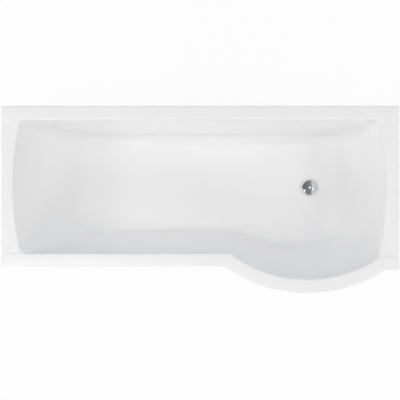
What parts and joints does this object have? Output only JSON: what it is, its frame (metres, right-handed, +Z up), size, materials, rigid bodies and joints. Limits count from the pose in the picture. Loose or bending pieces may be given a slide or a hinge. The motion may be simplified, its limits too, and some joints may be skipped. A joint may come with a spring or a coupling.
{
  "type": "shower bath",
  "caption": "Asymmetric acrylic shower bath with a bowed front at the tap end, a sloping back rest, a flat rim, a domed push-to-open waste, steel bearers and adjustable feet.",
  "frame": {"origin": "on the ground, under the middle of the bounding box", "axes": "+X along the bath from the head end to the tap end, +Y from the bowed front to the wall side, +Z up"},
  "size_m": [1.7, 0.7999, 0.57],
  "materials": {
    "white_acrylic": "gloss",
    "glass_fibre": "rough, sprayed",
    "chipboard": "raw",
    "softwood": "sawn",
    "zinc_steel": "zinc plated",
    "zinc_screws": "yellow zinc",
    "black_plastic": "moulded",
    "chrome_plate": "polished",
    "white_foam": "foam",
    "black_rubber": "matt",
    "white_plastic": "moulded",
    "spring_steel": "bright wire"
  },
  "bodies": {
    "bath": {"acrylic_shell": "white_acrylic", "glassfibre_backing": "glass_fibre", "baseboard": "chipboard", "baseboard_laminate": "glass_fibre", "rim_batten_back": "softwood", "rim_batten_head": "softwood", "rim_batten_tap": "softwood", "rim_batten_front": "softwood", "rim_batten_bow": "softwood", "bearer_screws": "zinc_screws", "centre_bracket_screws": "zinc_screws", "bearer_head": "zinc_steel", "bearer_tap": "zinc_steel", "centre_bracket": "zinc_steel", "wall_bracket_left": "zinc_steel", "wall_bracket_right": "zinc_steel", "wall_bracket_screws": "zinc_screws", "waste_body": "chrome_plate", "flange_seal": "white_foam", "lower_washer": "black_rubber", "back_nut": "black_plastic", "cartridge_sleeve": "white_plastic", "cartridge_spring": "spring_steel"},
    "foot head_back": {"foot_stud_head_back": "zinc_steel", "foot_pad_head_back": "black_plastic"},
    "nuts head_back": {"foot_nuts_head_back": "zinc_steel"},
    "foot head_front": {"foot_stud_head_front": "zinc_steel", "foot_pad_head_front": "black_plastic"},
    "nuts head_front": {"foot_nuts_head_front": "zinc_steel"},
    "foot tap_back": {"foot_stud_tap_back": "zinc_steel", "foot_pad_tap_back": "black_plastic"},
    "nuts tap_back": {"foot_nuts_tap_back": "zinc_steel"},
    "foot tap_front": {"foot_stud_tap_front": "zinc_steel", "foot_pad_tap_front": "black_plastic"},
    "nuts tap_front": {"foot_nuts_tap_front": "zinc_steel"},
    "foot centre": {"foot_stud_centre": "zinc_steel", "foot_pad_centre": "black_plastic"},
    "nuts centre": {"foot_nuts_centre": "zinc_steel"},
    "plug": {"waste_plug": "chrome_plate", "plug_seal": "black_rubber", "plug_plunger": "white_plastic"}
  },
  "joints": [
    {"name": "nuts_turn_head_back", "type": "hinge", "parent": "bath", "child": "nuts head_back", "pos_m": [-0.30148, 0.323, 0.142], "axis": [0, 0, 1], "range_deg": [-3090, 4120]},
    {"name": "foot_height_head_back", "type": "slide", "parent": "bath", "child": "foot head_back", "axis": [0, 0, 1], "range_m": [-0.02, 0.015]},
    {"name": "nuts_turn_head_front", "type": "hinge", "parent": "bath", "child": "nuts head_front", "pos_m": [-0.30148, -0.212, 0.142], "axis": [0, 0, 1], "range_deg": [-3090, 4120]},
    {"name": "foot_height_head_front", "type": "slide", "parent": "bath", "child": "foot head_front", "axis": [0, 0, 1], "range_m": [-0.02, 0.015]},
    {"name": "nuts_turn_tap_back", "type": "hinge", "parent": "bath", "child": "nuts tap_back", "pos_m": [0.32996, 0.323, 0.142], "axis": [0, 0, 1], "range_deg": [-3090, 4120]},
    {"name": "foot_height_tap_back", "type": "slide", "parent": "bath", "child": "foot tap_back", "axis": [0, 0, 1], "range_m": [-0.02, 0.015]},
    {"name": "nuts_turn_tap_front", "type": "hinge", "parent": "bath", "child": "nuts tap_front", "pos_m": [0.32996, -0.25, 0.142], "axis": [0, 0, 1], "range_deg": [-3090, 4120]},
    {"name": "foot_height_tap_front", "type": "slide", "parent": "bath", "child": "foot tap_front", "axis": [0, 0, 1], "range_m": [-0.02, 0.015]},
    {"name": "nuts_turn_centre", "type": "hinge", "parent": "bath", "child": "nuts centre", "pos_m": [0.01424, 0.0555, 0.142], "axis": [0, 0, 1], "range_deg": [-3090, 4120]},
    {"name": "foot_height_centre", "type": "slide", "parent": "bath", "child": "foot centre", "axis": [0, 0, 1], "range_m": [-0.02, 0.015]},
    {"name": "plug_lift", "type": "slide", "parent": "bath", "child": "plug", "axis": [0, 0, 1], "range_m": [0, 0.008], "deforming": ["cartridge_spring"]}
  ],
  "couplings": [
    {"joint": "nuts_turn_head_back", "follows": "foot_height_head_back", "rad_per_m": -3590.4},
    {"joint": "nuts_turn_head_front", "follows": "foot_height_head_front", "rad_per_m": -3590.4},
    {"joint": "nuts_turn_tap_back", "follows": "foot_height_tap_back", "rad_per_m": -3590.4},
    {"joint": "nuts_turn_tap_front", "follows": "foot_height_tap_front", "rad_per_m": -3590.4},
    {"joint": "nuts_turn_centre", "follows": "foot_height_centre", "rad_per_m": -3590.4}
  ]
}
